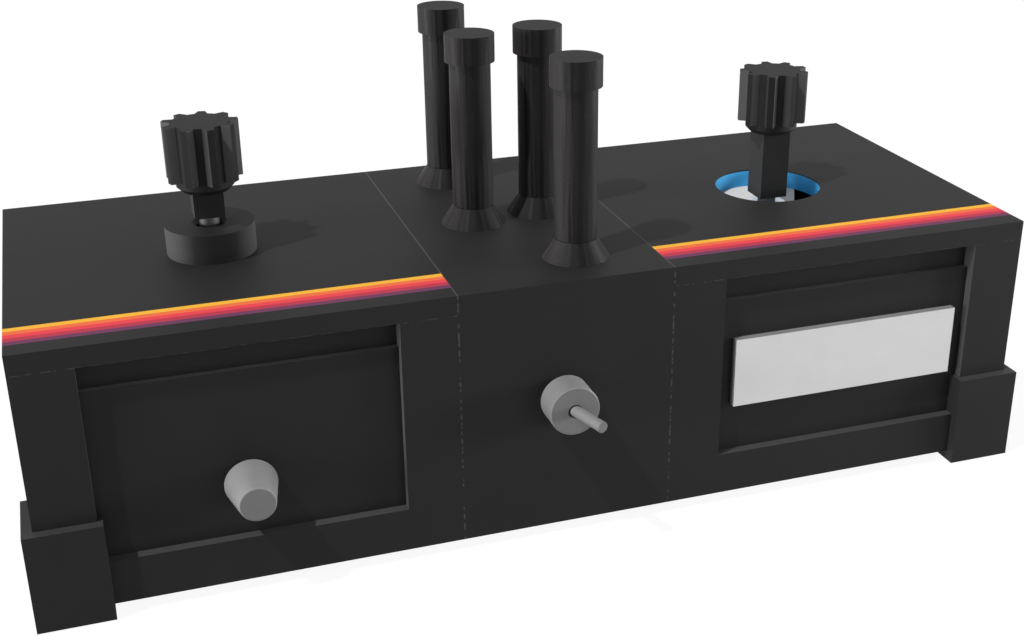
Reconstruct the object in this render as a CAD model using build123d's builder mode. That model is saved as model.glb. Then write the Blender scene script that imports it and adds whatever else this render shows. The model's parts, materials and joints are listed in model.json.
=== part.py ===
from build123d import *
import os
from math import acos, cos, pi, radians, sin, tan

os.makedirs("parts", exist_ok=True)

# Tabletop machine that runs video tape from one bare reel to the other past four guides.
# Three modules stand in a row: a reel module at each side of the guide module.
# Millimetres. X runs along the row to the right, Y from front to back, Z up from the floor.

# Row
side_length = 100.0  # a reel module along the row
centre_length = 55.0  # the guide module along the row
depth = 100.0
body_height = 66.0  # from the plinth's underside to the lid's top
lid_thickness = 5.0

# Shells
pillar_width = 14.0
recess_depth = 2.5  # panels between the pillars
plinth_height = 11.4
band_height = 7.0  # deeper band between a panel and the lid
band_depth = 4.2
wall_thickness = 4.0  # behind a recessed panel
rim_thickness = 3.0  # plinth rim around the base plate
base_thickness = 3.0
lip_depth = 3.0  # lid's locating lip inside the walls
lip_thickness = 2.0
centre_wall = 6.0
cable_hole_radius = 4.0
cable_hole_height = 14.0
cable_hole_setback = 12.0  # behind the row's middle

# Feet at the outer corners
foot_proud = 2.5
foot_drop = 2.75
foot_height = 22.5  # wall of the boot above the plinth's underside
foot_overlap = 1.25  # past the pillar, into the recess

# Coloured bands let into both lids, purple nearest the front
stripe_setback = 5.5
stripe_width = 1.9
stripe_depth = 0.6
stripe_names = ("purple", "crimson", "red", "orange", "yellow")

# Blank plate on the right front panel
plate_margin = 3.9  # panel left at each end of the plate
plate_height = 18.8
plate_thickness = 2.0
plate_rise = 34.1  # centre above the plinth's underside

# Clearances
run_gap = 0.08  # turning fit, on the radius
seat_gap = 0.15  # loose fit, on each side
end_gap = 0.3  # between a turning face and a fixed one
roller_gap = 0.15  # above and below a roller
peg_gap = 0.075  # round the board's pegs

# Spindles
axle_radius = 2.5
left_neck_width = 7.4
right_neck_width = 8.1
left_neck_rise = 9.5  # foot of the neck above the lid
right_neck_drop = 2.6  # foot of the neck below the lid's top
crown_top = 33.2  # above the lid
crown_bottom = 16.1
rib_bottom = 19.05
core_radius = 7.1
core_chamfer = 1.3
crown_radius = 9.25
rib_count = 9
rib_root_width = 3.0
rib_tip_width = 1.75
axle_depth = 6.0  # solid crown left above the axle

# Collar on the left lid
collar_radius = 11.1
collar_height = 7.5
spigot_radius = 6.0
collar_clearance = 0.9
collar_chamfer = 1.0

# Well in the right lid
well_radius = 14.7
liner_wall = 1.2
well_lip = 0.4  # lid left over the liner

# Drive under each lid, turned about the spindle
drive_angle = 152.4  # direction from spindle to motor
cover_edge = 7.9  # straight edge of the cover beside the spindle
cover_reach = 37.0
cover_half_width = 16.5
cover_thickness = 4.0
bearing_radius = 5.5
bearing_height = 4.0
tooth_module = 0.8
gear_teeth = 48
pinion_teeth = 12
tooth_addendum = 0.6
tooth_dedendum = 0.8
tooth_thinning = 0.12
pressure_angle = radians(20)
gear_width = 6.0
hub_radius = 4.6
hub_height = 1.2
pinion_overlap = 0.5  # pinion taller than the gear at the top
gear_clearance = 1.0  # gear above the motor bracket
bracket_thickness = 2.5
bracket_post_radius = 3.5
bracket_rim = 1.0  # bracket left around a post
bearing_tube_radius = 8.0
bearing_tube_length = 12.0
tube_bore_radius = 4.0
post_spots = ((-17.0, -17.5), (-17.0, 17.5), (27.0, -21.0), (27.0, 21.0))
cover_screw_spots = ((16.0, -13.0), (16.0, 13.0), (33.5, -13.0), (33.5, 13.0))
clip_radius = 4.2
clip_height = 1.0
axle_tail = 1.0
axle_chamfer = 0.5

# Motors
motor_radius = 12.2
motor_length = 30.8
motor_boss_radius = 3.1
motor_boss_height = 1.5
motor_edge = 1.5  # rounded lower edge of the can
motor_shaft_radius = 1.0
motor_shaft_depth = 6.0  # hidden in the motor
motor_screw_radius = 1.3
motor_screw_spread = 17.0
motor_skirt = 2.0
motor_skirt_depth = 8.0
motor_screw_bite = 2.5
motor_cap_height = 0.75  # rear bearing's housing below the can
motor_tag_length = 3.0
motor_tag_width = 3.2
motor_tag_thickness = 0.8

# Guides on the centre module, each pair placed evenly about its middle
guide_names = ("front", "left", "right", "rear")
guide_setback = 15.8  # front and rear guides, from the module's front and back
guide_shift = 7.3  # front guide to the right, rear guide to the left
guide_spread = 9.6  # left and right guides
guide_stagger = 1.7  # left guide forward, right guide back
guide_height = 50.0
cone_radius = 8.5
cone_height = 5.0
roller_radius = 5.3
guide_pin_radius = 3.0
cap_radius = 6.4
cap_height = 7.0
cap_roof = 2.0
spigot_chamfer = 0.4

# Speed control on the left front panel
knob_along = 49.2  # from the module's left side
knob_rise = 24.6
knob_base_radius = 6.3
knob_tip_radius = 4.3
knob_length = 10.8
knob_edge = 0.5
knob_front = 2.4  # solid front left over the shaft
knob_pocket_radius = 4.9
knob_pocket_depth = 3.4
pot_shaft_radius = 3.0
pot_bush_radius = 3.5
pot_bush_length = 7.0
pot_nut_width = 8.0
pot_nut_thickness = 2.0
pot_radius = 8.0
pot_depth = 9.0

# Direction switch on the centre front
switch_offset = -1.0  # from the row's middle
switch_rise = 35.0
nut_radius = 6.35
nut_length = 7.5
nut_lip = 0.8
nut_hole_radius = 1.8
nut_edge = 0.25
bush_radius = 3.0
lever_radius = 1.4
lever_length = 11.2
lever_angle = 17.3
cup_depth = 3.0
switch_length = 13.0
switch_width = 8.0
switch_depth = 10.0
tag_length = 4.0
tag_width = 1.8
tag_thickness = 0.8
tag_spacing = 4.0

# Control board on the centre base plate
board_length = 60.0
board_width = 34.0
board_thickness = 1.6
peg_radius = 1.4
peg_tip = 1.6  # above the board
standoff_radius = 2.6
standoff_height = 6.0
peg_inset = 4.0
board_corner = 1.5
terminal_span = 20.0
terminal_depth = 8.0
terminal_height = 10.0
terminal_pitch = 5.0
terminal_ways = 4
wire_hole = 2.5
wire_hole_depth = 4.0
wire_hole_rise = 3.4
part_column = 8.5  # each side of the board's middle
capacitor_radius = 5.0
capacitor_height = 16.0
capacitor_setback = 5.0
chip_length = 10.0
chip_width = 6.0
chip_height = 2.5
chip_setback = 12.0
sink_length = 20.0
sink_width = 9.0
sink_height = 18.0
fin_count = 6
fin_thickness = 1.2

# Power inlet on the centre back
inlet_rise = 22.0
inlet_radius = 5.5
inlet_flange_radius = 7.0
inlet_flange_thickness = 1.5
inlet_length = 14.0
inlet_bore_radius = 3.2
inlet_bore_depth = 9.0
inlet_pin_radius = 1.0
inlet_nut_thickness = 2.0

# Screws
screw_radius = 1.5
screw_head_radius = 2.75
screw_head_height = 1.8
screw_bite = 8.0  # into a pillar
lid_bite = 3.5  # into a lid from below
motor_screw_head_radius = 2.1
motor_screw_head_height = 1.2
countersink_angle = 82.0
joint_screw_radius = 2.0
joint_screw_head_radius = 3.5
joint_screw_head_height = 2.5
joint_screw_bite = 5.0
joint_screw_inset = 6.0  # from the side of a pillar
joint_screw_rise = 30.0

# Levels and places worked out from the sizes above
base_z = foot_drop
top_z = base_z + body_height
lid_z = top_z - lid_thickness
cover_z = lid_z - cover_thickness
gear_top_z = cover_z - end_gap - hub_height
gear_z = gear_top_z - gear_width
bracket_top_z = gear_z - gear_clearance
bracket_z = bracket_top_z - bracket_thickness
tube_z = bracket_z - bearing_tube_length

half_row = centre_length / 2 + side_length
switch_pivot = nut_length - nut_lip
front_reach = switch_pivot + lever_length * cos(radians(lever_angle)) + lever_radius * sin(radians(lever_angle))
front_y = (front_reach - depth - foot_proud) / 2
back_y = front_y + depth
centre_y = front_y + depth / 2
spindle_x = {"left": -(centre_length + side_length) / 2, "right": (centre_length + side_length) / 2}
wall_reach = recess_depth + wall_thickness
pitch_distance = tooth_module * (gear_teeth + pinion_teeth) / 2
pillar_inset = pillar_width / 2
plate_length = side_length - 2 * (pillar_width + plate_margin)
joint_screw_spread = depth / 2 - pillar_width - joint_screw_inset
guide_reach = depth / 2 - guide_setback
guide_spots = (
    (guide_shift, -guide_reach),
    (-guide_spread, -guide_stagger),
    (guide_spread, guide_stagger),
    (-guide_shift, guide_reach),
)
stripe_span = stripe_width * len(stripe_names)
countersink_depth = (screw_head_radius - screw_radius) / tan(radians(countersink_angle / 2))


def outward(x, y, z, direction):
    """Plane at a point of a wall that faces along direction, with its own Y axis up."""
    return Plane(origin=(x, y, z), x_dir=(-direction[1], direction[0], 0), z_dir=(*direction, 0))


def drive_plane(side, z, down=False):
    """Plane at the spindle whose X axis points at the motor."""
    toward = (cos(radians(drive_angle)), sin(radians(drive_angle)), 0)
    return Plane(origin=(spindle_x[side], centre_y, z), x_dir=toward, z_dir=(0, 0, -1 if down else 1))


def save(piece, name):
    piece.label = name
    export_step(piece, f"parts/{name}.step")


def room_outline(inset):
    """Inside of a reel module: a square room with the four pillars cut out of its corners."""
    with BuildSketch() as room:
        Rectangle(side_length - 2 * wall_reach, depth - 2 * wall_reach)
        with GridLocations(side_length - pillar_width, depth - pillar_width, 2, 2):
            Rectangle(pillar_width, pillar_width, mode=Mode.SUBTRACT)
        if inset:
            offset(amount=-inset, kind=Kind.INTERSECTION, mode=Mode.REPLACE)
    return room.sketch


room_sketch = room_outline(0)
lip_outer_sketch = room_outline(seat_gap)
lip_inner_sketch = room_outline(seat_gap + lip_thickness)


# Reel module shells: pillars, plinth and recessed panels on the front, back and outer side
def reel_housing(side):
    x = spindle_x[side]
    outer = 1 if side == "right" else -1
    faces = (
        (outward(x, front_y, 0, (0, -1)), side_length),
        (outward(x, back_y, 0, (0, 1)), side_length),
        (outward(x + outer * side_length / 2, centre_y, 0, (outer, 0)), depth),
    )
    with BuildPart() as housing:
        with BuildSketch(Plane(origin=(x, centre_y, base_z))):
            Rectangle(side_length, depth)
        extrude(amount=body_height - lid_thickness)
        with BuildSketch(Plane(origin=(x, centre_y, base_z))):
            Rectangle(side_length - 2 * rim_thickness, depth - 2 * rim_thickness)
        extrude(amount=base_thickness, mode=Mode.SUBTRACT)
        with BuildSketch(Plane(origin=(x, centre_y, base_z + base_thickness))):
            add(room_sketch)
        extrude(amount=body_height - lid_thickness - base_thickness, mode=Mode.SUBTRACT)
        for face, length in faces:
            for cut, low in ((recess_depth, plinth_height), (band_depth, lid_z - base_z - band_height)):
                high = lid_z - base_z
                with BuildSketch(face):
                    with Locations((0, base_z + (low + high) / 2)):
                        Rectangle(length - 2 * pillar_width, high - low)
                extrude(amount=-cut, mode=Mode.SUBTRACT)
        # pilot holes for the base screws, and the two joining screws and cable hole to the centre
        with BuildSketch(Plane(origin=(x, centre_y, base_z + base_thickness))):
            with GridLocations(side_length - pillar_width, depth - pillar_width, 2, 2):
                Circle(screw_radius)
        extrude(amount=screw_bite, mode=Mode.SUBTRACT)
        inner_face = outward(x - outer * side_length / 2, centre_y, base_z, (-outer, 0))
        with BuildSketch(inner_face):
            with Locations((-joint_screw_spread, joint_screw_rise), (joint_screw_spread, joint_screw_rise)):
                Circle(joint_screw_radius)
            with Locations((-outer * cable_hole_setback, cable_hole_height)):
                Circle(cable_hole_radius)
        extrude(amount=-wall_reach, mode=Mode.SUBTRACT)
        if side == "left":
            with BuildSketch(outward(-half_row + knob_along, front_y, base_z + knob_rise, (0, -1))):
                Circle(pot_bush_radius + seat_gap)
            extrude(amount=-wall_reach, mode=Mode.SUBTRACT)
    return housing.part


# Lids: a flat slab with a locating lip below and a shallow groove for the coloured bands
def reel_lid(side):
    x = spindle_x[side]
    with BuildPart() as lid:
        with BuildSketch(Plane(origin=(x, centre_y, lid_z))):
            Rectangle(side_length, depth)
        extrude(amount=lid_thickness)
        with BuildSketch(Plane(origin=(x, centre_y, lid_z))):
            add(lip_outer_sketch)
            add(lip_inner_sketch, mode=Mode.SUBTRACT)
        extrude(amount=-lip_depth)
        with BuildSketch(Plane(origin=(x, front_y + stripe_setback + stripe_span / 2, top_z))):
            Rectangle(side_length, stripe_span)
        extrude(amount=-stripe_depth, mode=Mode.SUBTRACT)
        if side == "left":
            with BuildSketch(Plane(origin=(x, centre_y, lid_z))):
                Circle(spigot_radius + seat_gap)
            extrude(amount=lid_thickness, mode=Mode.SUBTRACT)
        else:
            with BuildSketch(Plane(origin=(x, centre_y, lid_z))):
                Circle(well_radius)
            extrude(amount=lid_thickness, mode=Mode.SUBTRACT)
            with BuildSketch(Plane(origin=(x, centre_y, lid_z))):
                Circle(well_radius + liner_wall)
            extrude(amount=lid_thickness - well_lip, mode=Mode.SUBTRACT)
        with BuildSketch(drive_plane(side, lid_z)):
            with Locations(*post_spots, *cover_screw_spots):
                Circle(screw_radius)
        extrude(amount=lid_bite, mode=Mode.SUBTRACT)
    return lid.part


# Base plates close the plinths from below
def base_plate(x, length, with_board):
    with BuildPart() as plate:
        with BuildSketch(Plane(origin=(x, centre_y, base_z))):
            Rectangle(length - 2 * (rim_thickness + seat_gap), depth - 2 * (rim_thickness + seat_gap))
        extrude(amount=base_thickness)
        with BuildSketch(Plane(origin=(x, centre_y, base_z))):
            with GridLocations(length - pillar_width, depth - pillar_width, 2, 2):
                Circle(screw_radius)
        extrude(amount=base_thickness, mode=Mode.SUBTRACT)
        if with_board:
            for radius, height in (
                (standoff_radius, standoff_height),
                (peg_radius, standoff_height + board_thickness + peg_tip),
            ):
                with BuildSketch(Plane(origin=(x, centre_y, base_z + base_thickness))):
                    with GridLocations(board_width - 2 * peg_inset, board_length - 2 * peg_inset, 2, 2):
                        Circle(radius)
                extrude(amount=height)
    return plate.part


# Centre module: plain walls and a top in one piece, open below
with BuildPart() as centre_housing:
    with BuildSketch(Plane(origin=(0, centre_y, base_z))):
        Rectangle(centre_length, depth)
    extrude(amount=body_height)
    with BuildSketch(Plane(origin=(0, centre_y, base_z))):
        Rectangle(centre_length - 2 * rim_thickness, depth - 2 * rim_thickness)
    extrude(amount=base_thickness, mode=Mode.SUBTRACT)
    with BuildSketch(Plane(origin=(0, centre_y, base_z + base_thickness))):
        Rectangle(centre_length - 2 * centre_wall, depth - 2 * wall_thickness)
        with GridLocations(centre_length - pillar_width, depth - pillar_width, 2, 2):
            Rectangle(pillar_width, pillar_width, mode=Mode.SUBTRACT)
    extrude(amount=body_height - base_thickness - lid_thickness, mode=Mode.SUBTRACT)
    with BuildSketch(Plane(origin=(0, centre_y, base_z + base_thickness))):
        with GridLocations(centre_length - pillar_width, depth - pillar_width, 2, 2):
            Circle(screw_radius)
    extrude(amount=screw_bite, mode=Mode.SUBTRACT)
    with BuildSketch(Plane(origin=(0, centre_y, lid_z))):
        with Locations(*guide_spots):
            Circle(guide_pin_radius + seat_gap)
    extrude(amount=lid_thickness, mode=Mode.SUBTRACT)
    for outer in (-1, 1):
        with BuildSketch(outward(outer * centre_length / 2, centre_y, base_z, (outer, 0))):
            with Locations((-joint_screw_spread, joint_screw_rise), (joint_screw_spread, joint_screw_rise)):
                Circle(joint_screw_radius)
        extrude(amount=-joint_screw_bite, mode=Mode.SUBTRACT)
        with BuildSketch(outward(outer * centre_length / 2, centre_y, base_z, (outer, 0))):
            with Locations((outer * cable_hole_setback, cable_hole_height)):
                Circle(cable_hole_radius)
        extrude(amount=-centre_wall, mode=Mode.SUBTRACT)
    with BuildSketch(outward(switch_offset, front_y, base_z + switch_rise, (0, -1))):
        Circle(bush_radius + seat_gap)
    extrude(amount=-wall_thickness, mode=Mode.SUBTRACT)
    with BuildSketch(outward(0, back_y, base_z + inlet_rise, (0, 1))):
        Circle(inlet_radius + seat_gap)
    extrude(amount=-wall_thickness, mode=Mode.SUBTRACT)


# Boots round the outer corner pillars, each with a return into the recess beside its pillar
boot_span = foot_proud + pillar_width + foot_overlap
with BuildPart() as front_left_foot:
    corner = Plane(origin=(-half_row - foot_proud, front_y - foot_proud, base_z))
    with BuildSketch(corner):
        Rectangle(boot_span, boot_span, align=(Align.MIN, Align.MIN))
        with Locations((foot_proud, foot_proud)):
            Rectangle(boot_span, boot_span, align=(Align.MIN, Align.MIN), mode=Mode.SUBTRACT)
    extrude(amount=foot_height)
    with BuildSketch(corner):
        Rectangle(boot_span, boot_span, align=(Align.MIN, Align.MIN))
    extrude(amount=-foot_drop)
    with BuildSketch(corner.offset(plinth_height)):
        with Locations((foot_proud + pillar_width, foot_proud)):
            Rectangle(foot_overlap, recess_depth, align=(Align.MIN, Align.MIN))
        with Locations((foot_proud, foot_proud + pillar_width)):
            Rectangle(recess_depth, foot_overlap, align=(Align.MIN, Align.MIN))
    extrude(amount=foot_height - plinth_height)
    with BuildSketch(Plane(origin=(-half_row + pillar_inset, front_y + pillar_inset, 0))):
        Circle(screw_radius)
    extrude(amount=foot_drop, mode=Mode.SUBTRACT)
    with BuildSketch(Plane(origin=(-half_row + pillar_inset, front_y + pillar_inset, 0))):
        Circle(screw_head_radius + seat_gap)
    extrude(amount=screw_head_height + seat_gap, mode=Mode.SUBTRACT)
with BuildPart() as front_right_foot:
    mirror(front_left_foot.part, about=Plane.YZ)
with BuildPart() as rear_left_foot:
    mirror(front_left_foot.part, about=Plane(origin=(0, centre_y, 0), z_dir=(0, 1, 0)))
with BuildPart() as rear_right_foot:
    mirror(rear_left_foot.part, about=Plane.YZ)


# Coloured bands, each a thin strip in the left lid and one in the right
def stripe(index):
    with BuildPart() as band:
        for x in spindle_x.values():
            y = front_y + stripe_setback + (index + 0.5) * stripe_width
            with BuildSketch(Plane(origin=(x, y, top_z - stripe_depth))):
                Rectangle(side_length, stripe_width)
            extrude(amount=stripe_depth)
    return band.part


# Blank plate seated on the right front panel
with BuildPart() as front_plate:
    panel = outward(spindle_x["right"], front_y + recess_depth, base_z + plate_rise, (0, -1))
    with BuildSketch(panel):
        Rectangle(plate_length, plate_height)
    extrude(amount=plate_thickness)

# Collar on the left lid, with a spigot through the lid down to the drive cover
with BuildPart() as spindle_collar:
    with BuildSketch(Plane(origin=(spindle_x["left"], centre_y, lid_z))):
        Circle(spigot_radius)
    extrude(amount=lid_thickness)
    with BuildSketch(Plane(origin=(spindle_x["left"], centre_y, top_z))):
        Circle(collar_radius)
    extrude(amount=collar_height)
    with BuildSketch(Plane(origin=(spindle_x["left"], centre_y, lid_z))):
        Circle(axle_radius + collar_clearance)
    extrude(amount=lid_thickness + collar_height, mode=Mode.SUBTRACT)
    mouth = spindle_collar.edges().group_by(Axis.Z)[-1].sort_by(SortBy.RADIUS)[0]
    chamfer(mouth, length=collar_chamfer)

# Blue liner of the right lid's well, pushed up from below against the lid's lip
with BuildPart() as well_liner:
    with BuildSketch(Plane(origin=(spindle_x["right"], centre_y, lid_z))):
        Circle(well_radius + liner_wall)
        Circle(well_radius, mode=Mode.SUBTRACT)
    extrude(amount=lid_thickness - well_lip)


# Spindle heads: a square neck under a ribbed crown that drives the reel's hub
def spindle_head(side):
    foot = -right_neck_drop if side == "right" else left_neck_rise
    width = right_neck_width if side == "right" else left_neck_width
    x = spindle_x[side]
    with BuildPart() as head:
        with BuildSketch(Plane(origin=(x, centre_y, top_z + crown_bottom))):
            Circle(core_radius)
        extrude(amount=crown_top - crown_bottom)
        chamfer(head.edges().group_by(Axis.Z)[0], length=core_chamfer)
        with BuildSketch(Plane(origin=(x, centre_y, top_z + rib_bottom))):
            with PolarLocations(0, rib_count):
                Polygon(
                    (0, -rib_root_width / 2),
                    (core_radius, -rib_root_width / 2),
                    (crown_radius, -rib_tip_width / 2),
                    (crown_radius, rib_tip_width / 2),
                    (core_radius, rib_root_width / 2),
                    (0, rib_root_width / 2),
                    align=None,
                )
        extrude(amount=crown_top - rib_bottom)
        with BuildSketch(Plane(origin=(x, centre_y, top_z + foot))):
            Rectangle(width, width)
        extrude(amount=crown_bottom - foot + core_chamfer)
        with BuildSketch(Plane(origin=(x, centre_y, top_z + foot))):
            Circle(axle_radius)
        extrude(amount=crown_top - axle_depth - foot, mode=Mode.SUBTRACT)
    return head.part


# Axles run from a retaining clip under the lower bearing up into the crown
def axle(side):
    plane = Plane(origin=(spindle_x[side], centre_y, tube_z - end_gap))
    with BuildPart() as shaft:
        with BuildSketch(plane):
            Circle(axle_radius)
        extrude(amount=top_z + crown_top - axle_depth - tube_z + end_gap)
        with BuildSketch(plane):
            Circle(clip_radius)
        extrude(amount=-clip_height)
        with BuildSketch(plane.offset(-clip_height)):
            Circle(axle_radius)
        extrude(amount=-axle_tail)
        chamfer(shaft.edges().group_by(Axis.Z)[0], length=axle_chamfer)
    return shaft.part


def tooth_outline(teeth, phase):
    """Corners of a spur gear: involute flanks from the base circle, straight across tips and roots."""
    pitch = tooth_module * teeth / 2
    base = pitch * cos(pressure_angle)
    tip = pitch + tooth_addendum
    root = pitch - tooth_dedendum
    start = max(base, root)
    half = (pi * tooth_module / 2 - tooth_thinning) / (2 * pitch)
    flank = []
    for step in range(3):
        radius = start + (tip - start) * step / 2
        rolled = acos(min(1, base / radius))
        flank.append((radius, half + tan(pressure_angle) - pressure_angle - (tan(rolled) - rolled)))
    if root < base:
        flank.insert(0, (root, flank[0][1]))
    corners = []
    for tooth in range(teeth):
        middle = 2 * pi * (tooth + phase) / teeth
        for radius, spread in flank:
            corners.append((radius * cos(middle - spread), radius * sin(middle - spread)))
        for radius, spread in reversed(flank):
            corners.append((radius * cos(middle + spread), radius * sin(middle + spread)))
    return corners


with BuildSketch() as gear_face:
    with BuildLine():
        Polyline(*tooth_outline(gear_teeth, 0), close=True)
    make_face()
with BuildSketch() as pinion_face:
    with BuildLine():
        Polyline(*tooth_outline(pinion_teeth, 0.5), close=True)
    make_face()


# Spindle gears, a tooth of each on the line to its motor
def spindle_gear(side):
    with BuildPart() as gear:
        with BuildSketch(drive_plane(side, gear_z)):
            add(gear_face.sketch)
        extrude(amount=gear_width)
        with BuildSketch(drive_plane(side, gear_top_z)):
            Circle(hub_radius)
        extrude(amount=hub_height)
        with BuildSketch(drive_plane(side, gear_z)):
            Circle(axle_radius)
        extrude(amount=gear_width + hub_height, mode=Mode.SUBTRACT)
    return gear.part


# Motor pinions with their shafts, a tooth gap of each on the line to its spindle
def motor_pinion(side):
    pinion_z = bracket_top_z + end_gap
    with BuildPart() as pinion:
        with BuildSketch(drive_plane(side, pinion_z)):
            with Locations((pitch_distance, 0)):
                add(pinion_face.sketch)
        extrude(amount=gear_top_z + pinion_overlap - pinion_z)
        with BuildSketch(drive_plane(side, bracket_z - motor_shaft_depth)):
            with Locations((pitch_distance, 0)):
                Circle(motor_shaft_radius)
        extrude(amount=pinion_z - bracket_z + motor_shaft_depth)
    return pinion.part


# Drive covers: white plates under the lids that carry the upper bearings
def drive_cover(side):
    with BuildPart() as cover:
        with BuildSketch(drive_plane(side, cover_z)):
            with Locations((-cover_edge, 0)):
                Rectangle(cover_edge + cover_reach, 2 * cover_half_width, align=(Align.MIN, Align.CENTER))
            Circle(bearing_radius, mode=Mode.SUBTRACT)
        extrude(amount=cover_thickness)
        with Locations(drive_plane(side, cover_z, down=True)):
            with Locations(*[(u, -v) for u, v in cover_screw_spots]):
                CounterSinkHole(
                    screw_radius, screw_head_radius, depth=cover_thickness, counter_sink_angle=countersink_angle
                )
    return cover.part


# Motor brackets: one moulding with four posts up to the lid, a bearing tube and the motor's skirt
def motor_bracket(side):
    with BuildPart() as bracket:
        with BuildSketch(drive_plane(side, bracket_z)):
            with Locations(*post_spots):
                Circle(bracket_post_radius + bracket_rim)
            with Locations((pitch_distance, 0)):
                Circle(motor_radius + seat_gap + motor_skirt)
            make_hull()
        extrude(amount=bracket_thickness)
        with BuildSketch(drive_plane(side, bracket_z)):
            with Locations(*post_spots):
                Circle(bracket_post_radius)
        extrude(amount=lid_z - bracket_z)
        with BuildSketch(drive_plane(side, bracket_z)):
            Circle(bearing_tube_radius)
        extrude(amount=-bearing_tube_length)
        with BuildSketch(drive_plane(side, bracket_z)):
            with Locations((pitch_distance, 0)):
                Circle(motor_radius + seat_gap + motor_skirt)
                Circle(motor_radius + seat_gap, mode=Mode.SUBTRACT)
        extrude(amount=-motor_skirt_depth)
        with BuildSketch(drive_plane(side, tube_z)):
            Circle(tube_bore_radius)
        extrude(amount=bracket_top_z - tube_z, mode=Mode.SUBTRACT)
        with BuildSketch(drive_plane(side, tube_z)):
            Circle(bearing_radius)
        extrude(amount=bearing_height, mode=Mode.SUBTRACT)
        with BuildSketch(drive_plane(side, bracket_z)):
            with Locations((pitch_distance, 0)):
                Circle(motor_boss_radius + seat_gap)
            with Locations((pitch_distance, -motor_screw_spread / 2), (pitch_distance, motor_screw_spread / 2)):
                Circle(motor_screw_radius)
            with Locations(*post_spots):
                Circle(screw_radius)
        extrude(amount=lid_z - bracket_z, mode=Mode.SUBTRACT)
    return bracket.part


# Bearings: on each side one in the cover and one at the bottom of the bracket's tube
with BuildPart() as spindle_bearings:
    for side in spindle_x:
        for z in (cover_z, tube_z):
            with BuildSketch(drive_plane(side, z)):
                Circle(bearing_radius)
                Circle(axle_radius + run_gap, mode=Mode.SUBTRACT)
            extrude(amount=bearing_height)


# Motors hang from the brackets, with a bore for the pinion's shaft and two tags below
def motor(side):
    with BuildPart() as can:
        with BuildSketch(drive_plane(side, bracket_z)):
            with Locations((pitch_distance, 0)):
                Circle(motor_radius)
        extrude(amount=-motor_length)
        fillet(can.edges().group_by(Axis.Z)[0], radius=motor_edge)
        with BuildSketch(drive_plane(side, bracket_z)):
            with Locations((pitch_distance, 0)):
                Circle(motor_boss_radius)
        extrude(amount=motor_boss_height)
        with BuildSketch(drive_plane(side, bracket_z - motor_length)):
            with Locations((pitch_distance, 0)):
                Circle(motor_boss_radius)
        extrude(amount=-motor_cap_height)
        with BuildSketch(drive_plane(side, bracket_z - motor_length)):
            with Locations((pitch_distance, -motor_radius / 2), (pitch_distance, motor_radius / 2)):
                Rectangle(motor_tag_width, motor_tag_thickness)
        extrude(amount=-motor_tag_length)
        with BuildSketch(drive_plane(side, bracket_z + motor_boss_height)):
            with Locations((pitch_distance, 0)):
                Circle(motor_shaft_radius + run_gap)
        extrude(amount=-motor_boss_height - motor_shaft_depth - end_gap, mode=Mode.SUBTRACT)
        with BuildSketch(drive_plane(side, bracket_z)):
            with Locations((pitch_distance, -motor_screw_spread / 2), (pitch_distance, motor_screw_spread / 2)):
                Circle(motor_screw_radius)
        extrude(amount=-motor_screw_bite, mode=Mode.SUBTRACT)
    return can.part


# Guides: a fixed pin on a flared cone, a roller that turns on the pin, and a cap
def guide_post(spot):
    x, y = spot
    with BuildPart() as post:
        with BuildSketch(Plane.XZ):
            with BuildLine():
                Polyline(
                    (0, -lid_thickness),
                    (guide_pin_radius - spigot_chamfer, -lid_thickness),
                    (guide_pin_radius, spigot_chamfer - lid_thickness),
                    (guide_pin_radius, 0),
                    (cone_radius, 0),
                    (roller_radius, cone_height),
                    (guide_pin_radius, cone_height),
                    (guide_pin_radius, guide_height - cap_roof),
                    (0, guide_height - cap_roof),
                    close=True,
                )
            make_face()
        revolve(axis=Axis.Z)
    return Pos(x, centre_y + y, top_z) * post.part


def guide_roller(spot):
    x, y = spot
    with BuildPart() as roller:
        with BuildSketch(Plane(origin=(x, centre_y + y, top_z + cone_height + roller_gap))):
            Circle(roller_radius)
            Circle(guide_pin_radius + run_gap, mode=Mode.SUBTRACT)
        extrude(amount=guide_height - cap_height - cone_height - 2 * roller_gap)
    return roller.part


def guide_cap(spot):
    x, y = spot
    with BuildPart() as cap:
        with BuildSketch(Plane(origin=(x, centre_y + y, top_z + guide_height - cap_height))):
            Circle(cap_radius)
        extrude(amount=cap_height)
        with BuildSketch(Plane(origin=(x, centre_y + y, top_z + guide_height - cap_height))):
            Circle(guide_pin_radius)
        extrude(amount=cap_height - cap_roof, mode=Mode.SUBTRACT)
    return cap.part


# Speed control: a tapered knob on the shaft of a potentiometer behind the panel
knob_point = (-half_row + knob_along, front_y + recess_depth, base_z + knob_rise)
knob_face = outward(*knob_point, (0, -1))
with BuildPart() as speed_knob:
    with BuildSketch(Plane(origin=knob_point, x_dir=(1, 0, 0), z_dir=(0, 0, -1))):
        with BuildLine():
            Polyline(
                (0, knob_length),
                (knob_tip_radius, knob_length),
                (knob_base_radius, end_gap),
                (knob_pocket_radius, end_gap),
                (knob_pocket_radius, knob_pocket_depth),
                (pot_shaft_radius, knob_pocket_depth),
                (pot_shaft_radius, knob_length - knob_front),
                (0, knob_length - knob_front),
                close=True,
            )
        make_face()
    revolve(axis=Axis(knob_point, (0, -1, 0)))
    fillet(speed_knob.faces().sort_by(Axis.Y)[0].edges(), radius=knob_edge)
with BuildPart() as potentiometer_shaft:
    with BuildSketch(knob_face.offset(-wall_thickness - pot_depth / 2)):
        Circle(pot_shaft_radius)
    extrude(amount=wall_thickness + pot_depth / 2 + knob_length - knob_front)
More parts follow.
